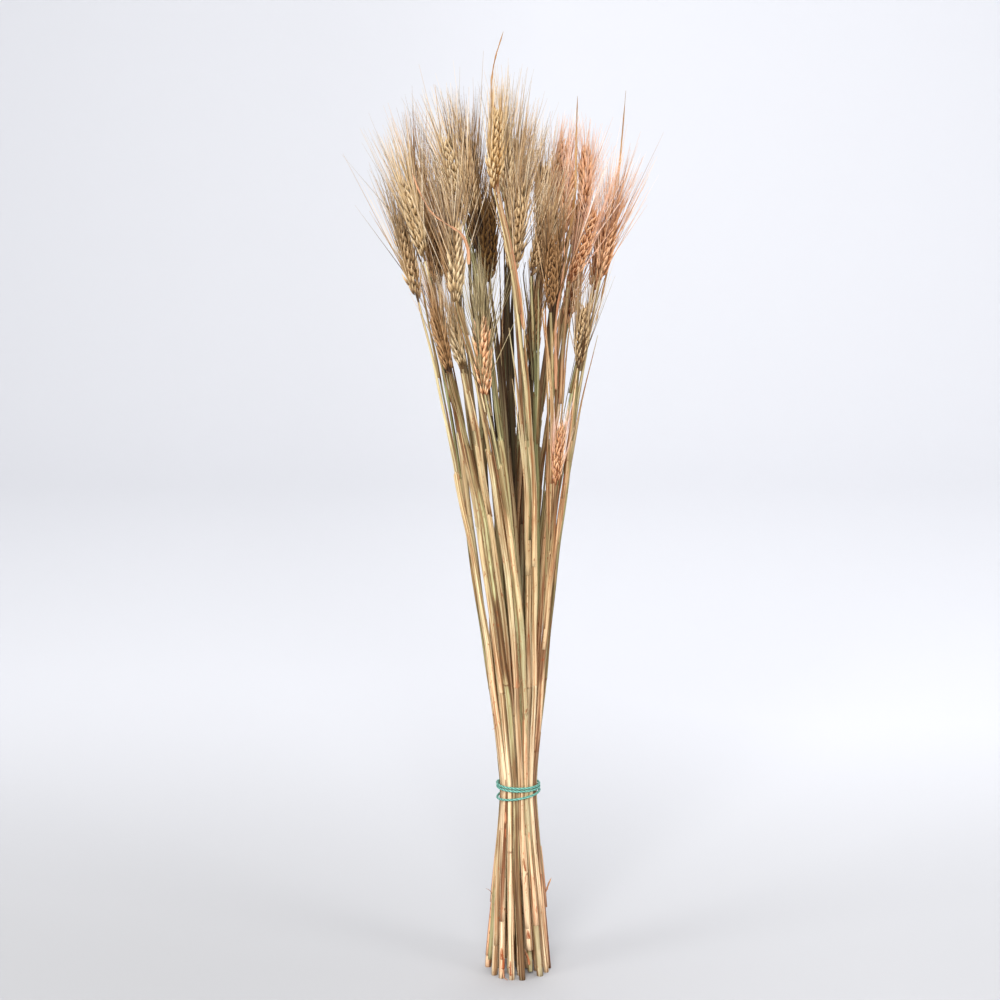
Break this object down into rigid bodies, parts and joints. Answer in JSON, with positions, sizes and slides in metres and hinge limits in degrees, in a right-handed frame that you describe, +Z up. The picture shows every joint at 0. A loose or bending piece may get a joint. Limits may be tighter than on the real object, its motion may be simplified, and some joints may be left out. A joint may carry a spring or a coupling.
{
  "type": "bundle of dried wheat",
  "caption": "Tied bundle of dried bearded wheat stalks, standing on its flared cut ends, with long-awned ears fanning out at the top.",
  "frame": {"origin": "middle of the centre stalk's cut end, on the surface that the bundle stands on", "axes": "+Z up along the stalks, +X to the right of the front view, +Y away from it"},
  "size_m": [0.2287, 0.2355, 0.7701],
  "materials": {
    "straw_yellow": "dry straw, satin skin on the stems, matt ears",
    "straw_green": "dry straw with a faded green cast, satin skin",
    "straw_rust": "dry straw with pinkish brown sheaths, satin skin",
    "dry_leaf": "dry leaf, matt and papery",
    "elastic": "twisted rubber strand, semi-matt"
  },
  "bodies": {
    "root": {"leaf_01": "dry_leaf", "leaf_02": "dry_leaf", "leaf_03": "dry_leaf", "leaf_04": "dry_leaf", "leaf_05": "dry_leaf", "leaf_06": "dry_leaf", "leaf_07": "dry_leaf", "stalk_01": "straw_green", "stalk_02": "straw_rust", "stalk_03": "straw_green", "stalk_04": "straw_yellow", "stalk_05": "straw_yellow", "stalk_06": "straw_green", "stalk_07": "straw_rust", "stalk_08": "straw_green", "stalk_09": "straw_yellow", "stalk_10": "straw_yellow", "stalk_11": "straw_green", "stalk_12": "straw_rust", "stalk_13": "straw_green", "stalk_14": "straw_yellow", "stalk_15": "straw_yellow", "stalk_16": "straw_green", "stalk_17": "straw_rust", "stalk_18": "straw_green", "stalk_19": "straw_yellow", "stalk_20": "straw_yellow", "stalk_21": "straw_green", "stalk_22": "straw_rust", "stalk_23": "straw_green", "stalk_24": "straw_yellow", "stalk_25": "straw_yellow", "stalk_26": "straw_green", "stalk_27": "straw_rust", "stalk_28": "straw_green", "stalk_29": "straw_yellow", "stalk_30": "straw_yellow", "stalk_31": "straw_green", "stalk_32": "straw_rust", "stalk_33": "straw_green", "stalk_34": "straw_yellow", "stalk_35": "straw_yellow", "stalk_36": "straw_green", "stalk_37": "straw_rust", "tie_band": "elastic"}
  },
  "joints": []
}
